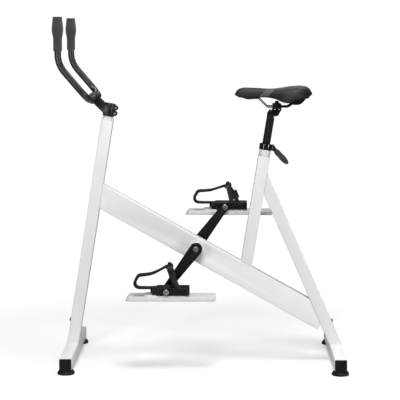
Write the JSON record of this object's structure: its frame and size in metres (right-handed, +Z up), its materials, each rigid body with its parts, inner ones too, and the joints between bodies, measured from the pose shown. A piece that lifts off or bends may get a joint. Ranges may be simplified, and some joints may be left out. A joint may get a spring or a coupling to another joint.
{
  "type": "aqua bike",
  "caption": "Free-standing underwater exercise bike: square-tube frame, bent handlebar, adjustable railed saddle, cranks with toe-clip pedals and flat water paddles.",
  "frame": {"origin": "on the floor under the middle of the bike's bounding box", "axes": "+X towards the rear, +Z up, -Y the rider's left"},
  "size_m": [0.9799, 0.526, 1.1806],
  "materials": {
    "white_paint": "satin white powder coat",
    "black_paint": "glossy black coat",
    "grip_foam": "matt dark foam",
    "black_plastic": "matt black moulded plastic",
    "foot_rubber": "matt black rubber",
    "saddle_cover": "dark grey textured cover over foam",
    "strap_webbing": "dark woven webbing",
    "pale_plastic": "pale grey moulded plastic",
    "steel": "brushed stainless steel"
  },
  "bodies": {
    "frame": {"front_post": "white_paint", "main_beam": "white_paint", "seat_tube": "white_paint", "rear_leg": "white_paint", "steerer_tube": "white_paint", "front_crossbar": "white_paint", "rear_crossbar": "white_paint", "front_foot_bolt": "steel", "rear_foot_bolt": "steel", "front_cap_left": "black_plastic", "front_cap_right": "black_plastic", "rear_cap_left": "black_plastic", "rear_cap_right": "black_plastic", "front_foot_left": "foot_rubber", "front_foot_right": "foot_rubber", "rear_foot_left": "foot_rubber", "rear_foot_right": "foot_rubber", "bb_shell": "white_paint", "bb_bush_left": "black_plastic", "bb_bush_right": "black_plastic", "seat_tube_sleeve": "white_paint", "seat_clamp_collar": "black_paint", "clamp_skewer": "steel", "clamp_nut": "black_paint"},
    "lever": {"clamp_lever": "black_plastic"},
    "stem": {"stem": "black_paint", "pinch_bolt_lower": "steel", "pinch_bolt_upper": "steel", "bar_faceplate": "black_paint", "faceplate_bolt_lower": "steel", "faceplate_bolt_upper": "steel", "stem_top_cap": "black_paint"},
    "handlebar": {"handlebar": "black_paint", "grip_left": "grip_foam", "grip_right": "grip_foam"},
    "seat_post": {"seat_post": "black_paint"},
    "cradle": {"rail_cradle": "black_paint", "rail_clamp": "black_paint", "saddle_clamp_bolt": "steel", "saddle_clamp_nut": "steel"},
    "saddle": {"saddle_rails": "black_paint", "saddle_shell": "black_plastic", "saddle_pad": "saddle_cover"},
    "crank": {"crank_spindle": "steel", "crank_left": "black_paint", "crank_right": "black_paint", "crank_bolt_left": "steel", "crank_bolt_right": "steel", "pedal_spindle_left": "steel", "pedal_spindle_right": "steel"},
    "left_pedal": {"pedal_body_left": "black_plastic", "dust_cap_left": "steel", "toe_clip_left": "black_plastic", "toe_strap_left": "strap_webbing", "paddle_left": "pale_plastic"},
    "right_pedal": {"pedal_body_right": "black_plastic", "dust_cap_right": "steel", "toe_clip_right": "black_plastic", "toe_strap_right": "strap_webbing", "paddle_right": "pale_plastic"}
  },
  "joints": [
    {"name": "crank_spin", "type": "hinge", "parent": "frame", "child": "crank", "pos_m": [-0.0223, 0, 0.39328], "axis": [0, 1, 0], "continuous": true},
    {"name": "left_pedal_spin", "type": "hinge", "parent": "crank", "child": "left_pedal", "pos_m": [-0.12114, 0, 0.26116], "axis": [0, 1, 0], "continuous": true},
    {"name": "right_pedal_spin", "type": "hinge", "parent": "crank", "child": "right_pedal", "pos_m": [0.07654, 0, 0.5254], "axis": [0, 1, 0], "continuous": true},
    {"name": "seat_height", "type": "slide", "parent": "frame", "child": "seat_post", "axis": [0.1582, 0, 0.9874], "range_m": [-0.085, 0.12]},
    {"name": "saddle_tilt", "type": "hinge", "parent": "seat_post", "child": "cradle", "pos_m": [0.25344, 0, 0.87892], "axis": [0, 1, 0], "range_deg": [-12, 12]},
    {"name": "saddle_slide", "type": "slide", "parent": "cradle", "child": "saddle", "axis": [1, 0, 0], "range_m": [-0.014, 0.009]},
    {"name": "clamp_lever_swing", "type": "hinge", "parent": "frame", "child": "lever", "pos_m": [0.23989, 0.0238, 0.73738], "axis": [0.7314, 0, 0.682], "range_deg": [0, 165]},
    {"name": "stem_swivel", "type": "hinge", "parent": "frame", "child": "stem", "pos_m": [-0.32382, 0, 0.84629], "axis": [0.1599, 0, 0.9871], "range_deg": [-35, 35]},
    {"name": "handlebar_tilt", "type": "hinge", "parent": "stem", "child": "handlebar", "pos_m": [-0.37152, 0, 0.90831], "axis": [0, 1, 0], "range_deg": [-30, 25]}
  ]
}
